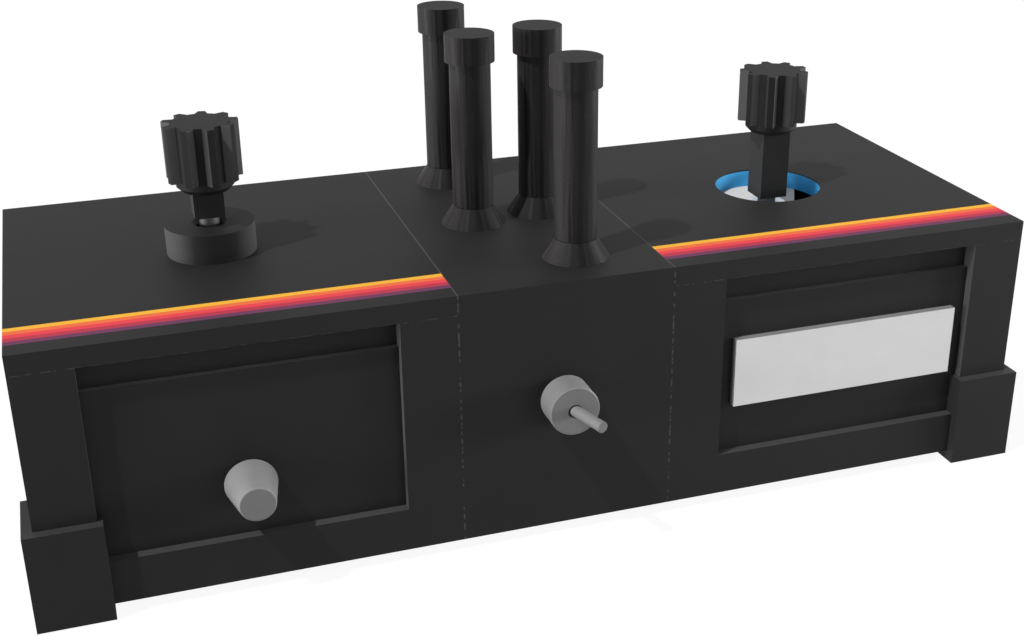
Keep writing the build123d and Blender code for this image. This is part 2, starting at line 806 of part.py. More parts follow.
with BuildPart() as potentiometer:
    with BuildSketch(knob_face.offset(-wall_thickness)):
        Circle(pot_radius)
    extrude(amount=-pot_depth)
    with BuildSketch(knob_face.offset(-wall_thickness)):
        Circle(pot_bush_radius)
    extrude(amount=pot_bush_length)
    with BuildSketch(knob_face.offset(-wall_thickness - pot_depth + tag_thickness)):
        for column in (-1, 0, 1):
            with Locations((column * tag_spacing, -pot_radius)):
                Rectangle(tag_width, 2 * tag_length)
    extrude(amount=tag_thickness)
    with BuildSketch(knob_face.offset(pot_bush_length - wall_thickness)):
        Circle(pot_shaft_radius + run_gap)
    extrude(amount=-pot_bush_length - pot_depth / 2 - end_gap, mode=Mode.SUBTRACT)

# Direction switch: a lever that swings from side to side, a round dress nut and the body behind
switch_face = outward(switch_offset, front_y, base_z + switch_rise, (0, -1))
lever_direction = (sin(radians(lever_angle)), -cos(radians(lever_angle)))
with BuildPart() as direction_lever:
    with BuildSketch(outward(switch_offset, front_y - switch_pivot, base_z + switch_rise, lever_direction)):
        Circle(lever_radius)
    extrude(amount=lever_length)
    with Locations((switch_offset, front_y - switch_pivot, base_z + switch_rise)):
        Sphere(lever_radius)
with BuildPart() as switch_nut:
    with BuildSketch(switch_face):
        Circle(nut_radius)
    extrude(amount=nut_length)
    chamfer(switch_nut.faces().sort_by(Axis.Y)[0].edges(), length=nut_edge)
    with BuildSketch(switch_face):
        Circle(bush_radius)
    extrude(amount=switch_pivot, mode=Mode.SUBTRACT)
    with BuildSketch(switch_face):
        Circle(nut_hole_radius)
    extrude(amount=nut_length, mode=Mode.SUBTRACT)
with BuildPart() as direction_switch:
    with BuildSketch(switch_face.offset(-wall_thickness)):
        Rectangle(switch_length, switch_width)
    extrude(amount=-switch_depth)
    with BuildSketch(switch_face.offset(-wall_thickness)):
        Circle(bush_radius)
    extrude(amount=wall_thickness + switch_pivot - end_gap)
    with BuildSketch(switch_face.offset(-wall_thickness - switch_depth)):
        for column in (-1, 0, 1):
            with Locations((column * tag_spacing, 0)):
                Rectangle(tag_width, tag_thickness)
    extrude(amount=-tag_length)
    with BuildSketch(switch_face.offset(switch_pivot - end_gap)):
        Circle(lever_radius + run_gap)
    extrude(amount=-cup_depth, mode=Mode.SUBTRACT)

# Control board on the pegs of the centre base plate, and what is soldered to it
board_z = base_z + base_thickness + standoff_height
board_top = Plane(origin=(0, centre_y, board_z + board_thickness))
with BuildPart() as control_board:
    with BuildSketch(Plane(origin=(0, centre_y, board_z))):
        RectangleRounded(board_width, board_length, board_corner)
        with GridLocations(board_width - 2 * peg_inset, board_length - 2 * peg_inset, 2, 2):
            Circle(peg_radius + peg_gap, mode=Mode.SUBTRACT)
    extrude(amount=board_thickness)
with BuildPart() as board_parts:
    # terminal blocks at the front and back edges, with a wire hole for each way
    for end in (-1, 1):
        with BuildSketch(board_top):
            with Locations((0, end * (board_length / 2 - terminal_depth / 2))):
                Rectangle(terminal_span, terminal_depth)
        extrude(amount=terminal_height)
        terminal_face = outward(0, centre_y + end * board_length / 2, board_z + board_thickness, (0, end))
        with BuildSketch(terminal_face):
            with Locations((0, wire_hole_rise)):
                with GridLocations(terminal_pitch, terminal_pitch, terminal_ways, 1):
                    Rectangle(wire_hole, wire_hole)
        extrude(amount=-wire_hole_depth, mode=Mode.SUBTRACT)
    with BuildSketch(board_top):
        with Locations((-part_column, capacitor_setback)):
            Circle(capacitor_radius)
    extrude(amount=capacitor_height)
    with BuildSketch(board_top):
        with Locations((-part_column, -chip_setback)):
            Rectangle(chip_width, chip_length)
    extrude(amount=chip_height)
    # finned heat sink of the driver transistor
    with BuildSketch(board_top):
        with Locations((part_column, 0)):
            Rectangle(fin_thickness, sink_length)
            with GridLocations(0, (sink_length - fin_thickness) / (fin_count - 1), 1, fin_count):
                Rectangle(sink_width, fin_thickness)
    extrude(amount=sink_height)

# Power inlet in the centre back wall
inlet_face = outward(0, back_y, base_z + inlet_rise, (0, 1))
with BuildPart() as power_inlet:
    with BuildSketch(inlet_face):
        Circle(inlet_flange_radius)
    extrude(amount=inlet_flange_thickness)
    with BuildSketch(inlet_face):
        Circle(inlet_radius)
    extrude(amount=-inlet_length)
    with BuildSketch(inlet_face.offset(inlet_flange_thickness)):
        Circle(inlet_bore_radius)
        Circle(inlet_pin_radius, mode=Mode.SUBTRACT)
    extrude(amount=-inlet_bore_depth, mode=Mode.SUBTRACT)

# Nuts of the potentiometer, under the knob, and of the inlet, inside the wall
with BuildPart() as panel_nuts:
    with BuildSketch(knob_face):
        RegularPolygon(radius=pot_nut_width / 2, side_count=6, major_radius=False)
        Circle(pot_bush_radius, mode=Mode.SUBTRACT)
    extrude(amount=pot_nut_thickness)
    with BuildSketch(inlet_face.offset(-wall_thickness)):
        RegularPolygon(radius=inlet_flange_radius, side_count=6, major_radius=False)
        Circle(inlet_radius, mode=Mode.SUBTRACT)
    extrude(amount=-inlet_nut_thickness)


def screw_set(seats):
    """Screws whose heads stand on the given planes while their shanks run the other way."""
    with BuildPart() as screws:
        for plane, radius, length, head_radius, head_height in seats:
            with BuildSketch(plane):
                Circle(head_radius)
            extrude(amount=head_height)
            with BuildSketch(plane):
                Circle(radius)
            extrude(amount=-length)
            with BuildSketch(plane.offset(head_height)):
                RegularPolygon(radius=head_radius / 2, side_count=6)
            extrude(amount=-head_height / 2, mode=Mode.SUBTRACT)
    return screws.part


# Base screws, from below into the pillars: the outer ones hold the feet and sink into them
base_screw_seats = []
shank_end = base_z + base_thickness + screw_bite
for x, length in ((spindle_x["left"], side_length), (0, centre_length), (spindle_x["right"], side_length)):
    for place in GridLocations(length - pillar_width, depth - pillar_width, 2, 2):
        screw_x = x + place.position.X
        in_foot = abs(screw_x) > half_row - pillar_width
        seat_z = screw_head_height + seat_gap if in_foot else base_z
        down = Plane(origin=(screw_x, centre_y + place.position.Y, seat_z), z_dir=(0, 0, -1))
        base_screw_seats.append((down, screw_radius, shank_end - seat_z, screw_head_radius, screw_head_height))

# Joining screws, from inside the reel modules into the centre module's walls
joining_screw_seats = []
for outer in (-1, 1):
    for y in (-joint_screw_spread, joint_screw_spread):
        x = outer * (centre_length / 2 + wall_reach)
        inside = outward(x, centre_y + y, base_z + joint_screw_rise, (outer, 0))
        reach = wall_reach + joint_screw_bite
        joining_screw_seats.append(
            (inside, joint_screw_radius, reach, joint_screw_head_radius, joint_screw_head_height)
        )

# Drive screws: long ones up the bracket posts, short ones in the motors, flat ones in the covers
drive_screw_seats = []
for side in spindle_x:
    for u, v in post_spots:
        low = drive_plane(side, bracket_z).from_local_coords((u, v, 0))
        reach = lid_z + lid_bite - bracket_z
        drive_screw_seats.append(
            (Plane(origin=low, z_dir=(0, 0, -1)), screw_radius, reach, screw_head_radius, screw_head_height)
        )
    for v in (-motor_screw_spread / 2, motor_screw_spread / 2):
        high = drive_plane(side, bracket_top_z).from_local_coords((pitch_distance, v, 0))
        reach = bracket_thickness + motor_screw_bite
        drive_screw_seats.append(
            (Plane(origin=high), motor_screw_radius, reach, motor_screw_head_radius, motor_screw_head_height)
        )
with BuildPart() as drive_screws:
    add(screw_set(drive_screw_seats))
    for side in spindle_x:
        with BuildSketch(drive_plane(side, cover_z)):
            with Locations(*cover_screw_spots):
                Circle(screw_head_radius)
        extrude(amount=countersink_depth, taper=countersink_angle / 2)
        with BuildSketch(drive_plane(side, cover_z)):
            with Locations(*cover_screw_spots):
                Circle(screw_radius)
        extrude(amount=cover_thickness + lid_bite)
        with BuildSketch(drive_plane(side, cover_z)):
            with Locations(*cover_screw_spots):
                RegularPolygon(radius=screw_head_radius / 2, side_count=6)
        extrude(amount=countersink_depth / 2, mode=Mode.SUBTRACT)

for side in spindle_x:
    save(reel_housing(side), f"{side}_housing")
    save(reel_lid(side), f"{side}_lid")
    save(base_plate(spindle_x[side], side_length, False), f"{side}_base_plate")
    save(spindle_head(side), f"{side}_spindle_head")
    save(axle(side), f"{side}_axle")
    save(spindle_gear(side), f"{side}_spindle_gear")
    save(motor_pinion(side), f"{side}_motor_pinion")
    save(drive_cover(side), f"{side}_drive_cover")
    save(motor_bracket(side), f"{side}_motor_bracket")
    save(motor(side), f"{side}_motor")
for name, spot in zip(guide_names, guide_spots):
    save(guide_post(spot), f"{name}_guide_post")
    save(guide_roller(spot), f"{name}_guide_roller")
    save(guide_cap(spot), f"{name}_guide_cap")
for index, name in enumerate(stripe_names):
    save(stripe(index), f"{name}_stripe")
save(centre_housing.part, "centre_housing")
save(base_plate(0, centre_length, True), "centre_base_plate")
save(front_left_foot.part, "front_left_foot")
save(front_right_foot.part, "front_right_foot")
save(rear_left_foot.part, "rear_left_foot")
save(rear_right_foot.part, "rear_right_foot")
save(front_plate.part, "front_plate")
save(spindle_collar.part, "spindle_collar")
save(well_liner.part, "well_liner")
save(spindle_bearings.part, "spindle_bearings")
save(speed_knob.part, "speed_knob")
save(potentiometer.part, "potentiometer")
save(potentiometer_shaft.part, "potentiometer_shaft")
save(switch_nut.part, "switch_nut")
save(direction_switch.part, "direction_switch")
save(direction_lever.part, "direction_lever")
save(control_board.part, "control_board")
save(board_parts.part, "board_parts")
save(power_inlet.part, "power_inlet")
save(panel_nuts.part, "panel_nuts")
save(screw_set(base_screw_seats), "base_screws")
save(drive_screws.part, "drive_screws")
save(screw_set(joining_screw_seats), "joining_screws")
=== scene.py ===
import json
import math

import bpy
from mathutils import Matrix, Vector


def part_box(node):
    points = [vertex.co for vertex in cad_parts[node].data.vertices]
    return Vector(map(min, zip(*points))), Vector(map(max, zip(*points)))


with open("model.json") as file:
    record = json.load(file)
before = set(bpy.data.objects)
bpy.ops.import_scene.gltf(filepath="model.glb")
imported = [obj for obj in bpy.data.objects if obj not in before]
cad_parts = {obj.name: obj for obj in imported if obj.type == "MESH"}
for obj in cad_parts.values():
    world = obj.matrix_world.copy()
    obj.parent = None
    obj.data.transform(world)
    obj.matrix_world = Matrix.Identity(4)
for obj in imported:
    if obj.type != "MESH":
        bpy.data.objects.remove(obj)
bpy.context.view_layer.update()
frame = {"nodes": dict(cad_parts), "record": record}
nodes = frame["nodes"]
print("frame loaded,", len(nodes), "nodes")
toMillimetres = 1000


# A socket that can be used in arithmetic: each operation adds its Math node
class Reading:
    def __init__(self, graph, socket):
        self.graph, self.socket = graph, socket

    def maths(self, operation, *others):
        return self.graph.node("ShaderNodeMath", {"operation": operation}, [self, *others])

    def __add__(self, other):
        return self.maths("ADD", other)

    def __sub__(self, other):
        return self.maths("SUBTRACT", other)

    def __rsub__(self, other):
        return self.graph.node("ShaderNodeMath", {"operation": "SUBTRACT"}, [other, self])

    def __mul__(self, other):
        return self.maths("MULTIPLY", other)

    def __truediv__(self, other):
        return self.maths("DIVIDE", other)

    def __pow__(self, other):
        return self.maths("POWER", other)

    def __abs__(self):
        return self.maths("ABSOLUTE")

    __radd__ = __add__
    __rmul__ = __mul__


# The node tree of a material or of the world
class Graph:
    def __init__(self, tree):
        self.tree = tree

    # adds a node: its settings first, then the values or links of its sockets
    def node(self, kind, settings=None, inputs=(), output=0):
        made = self.tree.nodes.new(kind)
        for key, value in (settings or {}).items():
            setattr(made, key, value)
        for key, value in inputs.items() if isinstance(inputs, dict) else enumerate(inputs):
            self.feed(made.inputs[key], value)
        return Reading(self, made.outputs[output])

    def feed(self, socket, value):
        if isinstance(value, Reading):
            self.tree.links.new(value.socket, socket)
        else:
            socket.default_value = value

    # 0 below low, 1 above high, even between them
    def band(self, value, low, high):
        sockets = {0: value, 1: low, 2: high, 3: 0.0, 4: 1.0}
        return self.node("ShaderNodeMapRange", {"clamp": True}, sockets)


# A material and the nodes that its pattern is worked out with
class Finish(Graph):
    def __init__(self, name):
        self.material = bpy.data.materials.new(name)
        self.material.use_nodes = True
        super().__init__(self.material.node_tree)
        self.shader = self.tree.nodes["Principled BSDF"]
        self.place = self.node("ShaderNodeVectorMath", {"operation": "SCALE"}, {
            0: self.node("ShaderNodeTexCoord", output="Object"), "Scale": toMillimetres})
        self.x, self.y, self.z = self.split(self.place)

    def split(self, vector):
        parts = self.node("ShaderNodeSeparateXYZ", None, [vector]).socket.node
        return [Reading(self, socket) for socket in parts.outputs]

    def joined(self, x, y, z=0.0):
        return self.node("ShaderNodeCombineXYZ", None, [x, y, z])

    # the way the surface faces in the object's own frame: to the right, to the back and up
    def facing(self):
        return self.split(self.node("ShaderNodeTexCoord", output="Normal"))

    # noise from 0 to 1 about 0.5, its grains 1 / scale millimetres apart
    def noise(self, vector, scale, detail=2.0):
        return self.node("ShaderNodeTexNoise", None, {"Vector": vector, "Scale": scale, "Detail": detail})

    def blend(self, share, first, second):
        return self.node("ShaderNodeMix", {"data_type": "RGBA"}, {
            0: share, 6: (*first, 1) if isinstance(first, tuple) else first,
            7: (*second, 1) if isinstance(second, tuple) else second}, 2)

    # the colour times the first share at tone 0 and times the second at tone 1
    def tinted(self, tone, colour, shares):
        dark, light = (tuple(min(1.0, part * share) for part in colour) for share in shares)
        return self.blend(tone, dark, light)

    # fills the shader: links where a value varies, plain numbers elsewhere
    def apply(self, relief, depth, strength=1.0, **sockets):
        bump = self.node("ShaderNodeBump", None, {
            "Strength": strength, "Distance": depth / toMillimetres, "Height": relief})
        self.feed(self.shader.inputs["Normal"], bump)
        for name, value in sockets.items():
            value = (*value, 1) if isinstance(value, tuple) else value
            self.feed(self.shader.inputs[name.replace("_", " ")], value)
        return self.material


# Printed plastic: fine layers across upright walls, fine strokes across level faces, faint clouds.
# Layers are noise of the height alone, strokes noise along one diagonal. Level ledges under the lids,
# more so the rail over each panel, and walls that face left or right are painted lighter: painted light
# for the light such faces catch. A tone of 0 gives half the colour, and each whole step of tone adds the
# colour once.
def printedPlastic(name, values):
    finish = Finish(name)
    aside, ahead, upward = finish.facing()
    level = finish.band(abs(upward), *values["levelTurn"])
    stretch, edge = values["lineStretch"], values["edge"]
    walls = finish.joined(finish.x * stretch, finish.y * stretch, finish.z)
    layers = finish.noise(walls, values["layerRate"], 1.0)
    across, along = finish.x + finish.y, (finish.x - finish.y) * values["strokeStretch"]
    strokes = finish.noise(finish.joined(across, along), values["strokeRate"], 1.0)
    lines = layers * (1 - level) + strokes * level
    cloud = finish.noise(finish.place, values["cloudRate"], 3.0)
    speck = finish.band(finish.noise(finish.place, values["speckRate"], 1.0), *values["speckCut"])
    tone = 0.5 + (cloud - 0.5) * values["cloudShare"] + (lines - 0.5) * values["lineShare"]
    tone = tone + speck * values["speckShare"]
    # painted light: level ledges below the lid seam, more so on the rail over each panel, are painted
    # lighter
    below = 1 - finish.band(finish.z, values["lidSeam"] - edge, values["lidSeam"])
    rail = finish.band(finish.z, values["railHeight"] - values["railDepth"], values["railHeight"])
    tone = tone + level * below * (values["ledgeLightShare"] + rail * values["railLightShare"])
    # painted light on faces that turn sideways: rib flanks, folds and necks on the spindles, walls facing
    # left or right elsewhere
    if values.get("axes"):
        tone = tone + crownPaintedLight(finish, values, aside, ahead, upward)
    else:
        within = 1 - finish.band(abs(finish.x), values["wallPlace"] - edge, values["wallPlace"])
        tone = tone + finish.band(abs(aside), *values["wallTurn"]) * within * values["sideLightShare"]
    # painted highlights along the module and lid joints
    if values["seams"]:
        tone = tone + seamHighlights(finish, values, level)
    low, high = values["toneShares"]
    colour = finish.tinted(tone / (high - low), values["colour"], (low, high))
    rough = values["roughness"] + (cloud - 0.5) * values["cloudRough"]
    rough = rough + (lines - 0.5) * values["lineRough"]
    return finish.apply(lines, values["lineDepth"], Base_Color=colour, Roughness=rough,
                        Specular_IOR_Level=values["gloss"])


# Painted light on the spindles: flanks of the ribs about the two spindle axes are painted lighter, by how
# far the normal turns away from the line to the axis, more so in the folds that face front or back, and
# the left and right faces of the square necks are painted lighter too
def crownPaintedLight(finish, values, aside, ahead, upward):
    x = finish.x - finish.x.maths("SIGN") * values["axes"][0]
    y = finish.y - values["axes"][1]
    radius = (x * x + y * y) ** 0.5
    turned = abs(x * ahead - y * aside) / radius
    flanks = finish.band(turned, *values["flankTurn"]) * finish.band(radius, *values["ribRoot"])
    sideways, upright = abs(aside), 1 - finish.band(abs(upward), *values["uprightTurn"])
    inside = 1 - finish.band(radius, *values["neckEdge"])
    neck = finish.band(sideways, *values["neckTurn"]) * upright * inside
    hidden = 1 - finish.band(sideways, *values["foldEnd"])
    folds = flanks * finish.band(sideways, *values["foldStart"]) * hidden
    # painted light: flanks, folds and neck sides lightened
    return flanks * values["sideLightShare"] + folds * values["foldLightShare"] + neck * values["neckLightShare"]


# Painted highlights: lighter hairlines where two modules meet, whole on the top and broken on the front,
# and broken ones where a lid meets its pillars, for light caught on the joint edges: one minus the
# distance to the joint over half the line's width
def seamHighlights(finish, values, level):
    outward, seam = abs(finish.x), values["moduleSeam"]
    between = 1 - finish.band(abs(outward - seam), 0.0, values["seamWidth"])
    reels = finish.band(outward, seam, seam + values["seamEdge"])
    under = 1 - finish.band(abs(finish.z - values["lidSeam"]), 0.0, values["lidSeamWidth"])
    gaps = finish.band(finish.noise(finish.place, values["gapRate"], 0.0), *values["gapCut"])
    whole = level + (1 - level) * gaps
    return between * whole * values["seamHighlightShare"] + under * reels * gaps * values["lidSeamHighlightShare"]


shellValues = {
    "colour": (0.0096, 0.0096, 0.0096), "toneShares": (0.5, 12.5), "roughness": 0.62, "gloss": 0.105,
    "levelTurn": (0.6, 0.8), "edge": 1.0,  # a face is level where its normal points up by this much
    "layerRate": 4.2, "lineStretch": 0.03, "strokeRate": 2.4, "strokeStretch": 0.02,
    "lineShare": 0.25, "lineDepth": 0.006, "lineRough": 0.08,
    "cloudRate": 0.035, "cloudShare": 0.5, "cloudRough": 0.1,
    "speckRate": 6.0, "speckCut": (0.66, 0.76), "speckShare": 0.1,
    "seams": True, "moduleSeam": 27.5, "seamWidth": 0.28, "seamEdge": 0.1, "seamHighlightShare": 4.0,
    "lidSeam": 63.75, "lidSeamWidth": 0.196, "lidSeamHighlightShare": 2.4, "gapRate": 0.9, "gapCut": (0.48, 0.56),
    # the ledge, rail and side shares are painted light; walls past wallPlace get none
    "ledgeLightShare": 2.8, "railHeight": 52.0, "railDepth": 5.0, "railLightShare": 6.0,
    "sideLightShare": 3.6, "wallTurn": (0.45, 0.95), "wallPlace": 123.0}  # walls past wallPlace stay dark
crownValues = {
    **shellValues, "seams": False, "cloudRate": 0.12, "colour": (0.0075, 0.0075, 0.0075),
    "axes": (77.5, 7.655), "ribRoot": (7.0, 7.2), "neckEdge": (6.0, 6.2),  # millimetres
    "flankTurn": (0.25, 0.6), "sideLightShare": 2.6,
    "foldStart": (-0.3, 0.3), "foldEnd": (0.7, 0.9), "foldLightShare": 5.0,
    "uprightTurn": (0.05, 0.1), "neckTurn": (0.85, 0.95), "neckLightShare": 2.5}
collarValues = {**shellValues, "seams": False, "cloudRate": 0.12}
bootValues = {
    **shellValues, "seams": False, "cloudRate": 0.08, "ledgeLightShare": 1.7, "sideLightShare": 0.5,
    "wallPlace": 140.0}


# Round guides: streaks along the height, noise of the way the wall faces, so that they follow the
# round of each guide; none on level faces. Walls that face left or right get painted light, and the
# middle that faces the front gets painted shade.
def streakedPlastic(name, values):
    finish = Finish(name)
    aside, ahead, upward = finish.facing()
    upright = (aside * aside + ahead * ahead) ** 0.5
    across, along = aside / upright * values["radius"], ahead / upright * values["radius"]
    stretched = finish.joined(across + finish.x * values["lean"], along, finish.z * values["stretch"])
    level = finish.band(abs(upward), *values["levelTurn"])
    streaks = finish.band(finish.noise(stretched, values["streakRate"], 2.0), *values["streakCut"])
    streaks = streaks * (1 - level) + level * values["levelStreak"]
    grains = finish.band(finish.noise(finish.place, values["grainRate"], 1.0), *values["grainCut"])
    tone = 0.5 + (streaks - 0.5) * values["streakShare"] + grains * values["grainShare"]
    # painted light on the left and right sides, painted shade on the front-facing middle
    left = finish.band(0 - aside, *values["sideTurn"]) * values["leftLightShare"]
    right = finish.band(aside, *values["sideTurn"]) * values["rightLightShare"]
    tone = tone + (left + right - values["middleShadeDrop"]) * (1 - level)
    low, high = values["toneShares"]
    colour = finish.tinted(tone / (high - low), values["colour"], (low, high))
    rough = values["roughness"] + (streaks - 0.5) * values["streakRough"]
    return finish.apply(streaks, values["streakDepth"], Base_Color=colour, Roughness=rough,
                        Specular_IOR_Level=values["gloss"])


guideValues = {
    "colour": (0.0068, 0.0062, 0.0064), "toneShares": (0.5, 4.5), "roughness": 0.55, "gloss": 0.11,
    "radius": 5.5, "stretch": 0.03, "lean": 0.02, "streakRate": 0.9, "streakCut": (0.42, 0.58),
    "streakShare": 1.3, "streakDepth": 0.03, "streakRough": 0.35,
    "levelTurn": (0.9, 0.95), "levelStreak": 0.85,
    "grainRate": 3.0, "grainCut": (0.58, 0.72), "grainShare": 1.2,
    "sideTurn": (0.4, 0.8), "leftLightShare": 1.7, "rightLightShare": 1.1, "middleShadeDrop": 0.75}


# Fine even grain and faint clouds of moulded or painted plastic: how light it is, and the grain
def mouldedTone(finish, values):
    grain = finish.noise(finish.place, values["grainRate"], 3.0)
    cloud = finish.noise(finish.place, values["cloudRate"], 2.0)
    tone = 0.5 + (grain - 0.5) * values["grainShare"] + (cloud - 0.5) * values["cloudShare"]
    return tone, grain


def mouldedShine(finish, values, colour, grain):
    rough = values["roughness"] + (grain - 0.5) * values["grainRough"]
    return finish.apply(grain, values["grainDepth"], Base_Color=colour, Roughness=rough,
                        Specular_IOR_Level=values["gloss"])


# Moulded plastic in one colour; where its side share is set, painted shade where it faces right and
# painted light where it faces left
def mouldedPlastic(name, values):
    finish = Finish(name)
    tone, grain = mouldedTone(finish, values)
    if values["sideShadeShare"]:
        # painted shade facing right, painted light facing left
        tone = tone - finish.facing()[0] * values["sideShadeShare"]
    colour = finish.tinted(tone, values["colour"], values["toneShares"])
    return mouldedShine(finish, values, colour, grain)


# Pale plate: white where the surface faces the front, and painted shade on all its other faces, which
# take a darker colour
def facedPlate(name, values):
    finish = Finish(name)
    front = 1 - finish.band(finish.facing()[1], *values["frontTurn"])
    tone, grain = mouldedTone(finish, values)
    face = finish.tinted(tone, values["colour"], values["toneShares"])
    # painted shade: faces that don't face the front take the darker colour
    body = finish.tinted(tone, values["body"], values["bodyShares"])
    return mouldedShine(finish, values, finish.blend(front, body, face), grain)


coverValues = {
    "colour": (0.52, 0.5, 0.48), "toneShares": (0.85, 1.15), "roughness": 0.5, "gloss": 0.3,
    "sideShadeShare": 0.0, "grainRate": 5.0, "grainShare": 0.4, "grainDepth": 0.004, "grainRough": 0.15,
    "cloudRate": 0.1, "cloudShare": 0.4}
linerValues = {
    **coverValues, "colour": (0.055, 0.36, 0.72), "toneShares": (0.61, 1.39), "roughness": 0.45,
    "gloss": 0.12, "grainShare": 0.15, "cloudShare": 0.15, "sideShadeShare": 0.4}
plateValues = {
    **coverValues, "colour": (0.455, 0.455, 0.455), "roughness": 0.55, "gloss": 0.1,
    "body": (0.15, 0.15, 0.15), "bodyShares": (0.5, 1.5), "frontTurn": (-0.9, -0.8)}
gearValues = {**coverValues, "colour": (0.06, 0.06, 0.062), "roughness": 0.45}
inletValues = {**coverValues, "colour": (0.015, 0.015, 0.015), "roughness": 0.3, "gloss": 0.4}
bandValues = {**coverValues, "roughness": 0.6, "gloss": 0.03, "grainShare": 0.25, "cloudShare": 0.25}
bandColours = {
    "purple": (0.104, 0.032, 0.07), "crimson": (0.31, 0.032, 0.054), "red": (0.52, 0.045, 0.056),
    "orange": (0.54, 0.11, 0.044), "yellow": (0.575, 0.3, 0.034)}


# Turned grey parts: rings about an axis that runs along y, noise of the distance from that axis,
# and end faces painted darker than the sides: painted shade
def turnedGrey(name, values, node):
    finish = Finish(name)
    low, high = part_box(node)
    axis = (low + high) / 2 * toMillimetres
    aside, above = finish.x - axis.x, finish.z - axis.z
    radius = (aside * aside + above * above) ** 0.5
    rings = finish.noise(finish.joined(radius, finish.y), values["ringRate"], 1.0)
    cloud = finish.noise(finish.place, values["cloudRate"], 2.0)
    tone = 0.5 + (rings - 0.5) * values["ringShare"] + (cloud - 0.5) * values["cloudShare"]
    # painted shade on the end faces
    tone = tone - finish.band(abs(finish.facing()[1]), *values["faceTurn"]) * values["faceShadeShare"]
    colour = finish.tinted(tone, values["colour"], values["toneShares"])
    rough = values["roughness"] + (rings - 0.5) * values["ringRough"]
    return finish.apply(rings, values["ringDepth"], Base_Color=colour, Roughness=rough,
                        Specular_IOR_Level=values["gloss"])


knobValues = {
    "colour": (0.15, 0.15, 0.15), "toneShares": (0.7, 1.3), "roughness": 0.5, "gloss": 0.15,
    "ringRate": 3.5, "ringShare": 0.25, "ringDepth": 0.004, "ringRough": 0.12,
    "cloudRate": 0.4, "cloudShare": 0.15, "faceTurn": (0.8, 0.95), "faceShadeShare": 0.45}
leverValues = {**knobValues, "colour": (0.138, 0.138, 0.138), "faceShadeShare": 0.3}


# Bare metal with fine drawing marks along one direction, noise stretched by the given factors
def drawnMetal(name, values):
    finish = Finish(name)
    wide, deep, tall = values["stretch"]
    stretched = finish.joined(finish.x * wide, finish.y * deep, finish.z * tall)
    marks = finish.noise(stretched, values["markRate"], 2.0)
    cloud = finish.noise(finish.place, values["cloudRate"], 2.0)
    tone = marks * values["markShare"] + cloud * (1 - values["markShare"])
    colour = finish.tinted(tone, values["colour"], values["toneShares"])
    rough = values["roughness"] + (marks - 0.5) * values["markRough"]
    return finish.apply(marks, values["markDepth"], values["markRelief"], Base_Color=colour,
                        Roughness=rough, Metallic=1.0)


steelValues = {
    "colour": (0.075, 0.075, 0.078), "toneShares": (0.8, 1.15), "roughness": 0.55,
    "stretch": (1.0, 1.0, 0.05),
    "markRate": 6.0, "markShare": 0.6, "markRough": 0.25, "markDepth": 0.004, "markRelief": 0.6,
    "cloudRate": 0.2}
brassValues = {**steelValues, "colour": (0.62, 0.45, 0.18)}
bearingValues = {**steelValues, "colour": (0.8, 0.8, 0.8), "roughness": 0.45}
canValues = {**steelValues, "colour": (0.55, 0.55, 0.56), "roughness": 0.3}


# Circuit board: a woven glass ground under green lacquer, a product of two sine waves, and copper
# runs, noise in straight lanes
def boardLacquer(name, values):
    finish = Finish(name)
    across, along = finish.x * values["weaveRate"], finish.y * values["weaveRate"]
    weave = across.maths("SINE") * along.maths("SINE")
    lanes = finish.joined(finish.x.maths("SNAP", values["laneWidth"]), finish.y * values["laneStretch"])
    runs = finish.band(finish.noise(lanes, values["laneRate"], 0.0), *values["laneCut"])
    tone = values["ground"] + weave * values["weaveShare"] + runs * values["laneShare"]
    colour = finish.tinted(tone, values["colour"], values["toneShares"])
    rough = values["roughness"] + weave * values["weaveRough"]
    return finish.apply(runs, values["laneDepth"], values["laneRelief"], Base_Color=colour,
                        Roughness=rough, Coat_Weight=values["coat"])


boardValues = {
    "colour": (0.02, 0.16, 0.06), "toneShares": (0.7, 1.6), "ground": 0.4, "roughness": 0.35, "coat": 0.4,
    "weaveRate": 6.0, "weaveShare": 0.15, "weaveRough": 0.05,
    "laneWidth": 1.5, "laneStretch": 0.12, "laneRate": 0.7, "laneCut": (0.52, 0.54), "laneShare": 0.4,
    "laneDepth": 0.03, "laneRelief": 0.5}

materials = {
    "black_shell": printedPlastic("shellPlastic", shellValues),
    "black_top": printedPlastic("lidPlastic", shellValues),
    "black_spindle": printedPlastic("crownPlastic", crownValues),
    "spindle_collar": printedPlastic("collarPlastic", collarValues),
    "black_foot": printedPlastic("bootPlastic", bootValues),
    "black_guide": streakedPlastic("guidePlastic", guideValues),
    "white_cover": mouldedPlastic("coverWhite", coverValues),
    "blue_liner": mouldedPlastic("wellBlue", linerValues),
    "pale_plate": facedPlate("plateFace", plateValues),
    "dark_gear": mouldedPlastic("gearNylon", gearValues),
    "inlet_black": mouldedPlastic("inletShell", inletValues),
    "grey_knob": turnedGrey("knobGrey", knobValues, "speed_knob"),
    "grey_switch": turnedGrey("leverGrey", leverValues, "switch_nut"),
    "steel": drawnMetal("axleSteel", steelValues),
    "spindle_bearings": drawnMetal("bearingSteel", bearingValues),
    "brass": drawnMetal("pinionBrass", brassValues),
    "motor_can": drawnMetal("canSteel", canValues),
    "green_board": boardLacquer("boardGreen", boardValues),
}
for name, colour in bandColours.items():
    materials[f"{name}_band"] = mouldedPlastic(f"{name}Band", {**bandValues, "colour": colour})
print("materials made,", len(materials))

# each node takes the material of its own name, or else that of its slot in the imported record
for part in frame["record"]["subparts"]:
    slots = nodes[part["node"]].data.materials
    slots.clear()
    slots.append(materials.get(part["node"], materials[part["material_slot"]]))
print("nodes dressed")


# White for what the camera and clear or shiny surfaces see, dimmer for the light on the object
skyValues = {"light": 0.33, "seen": 1.0}


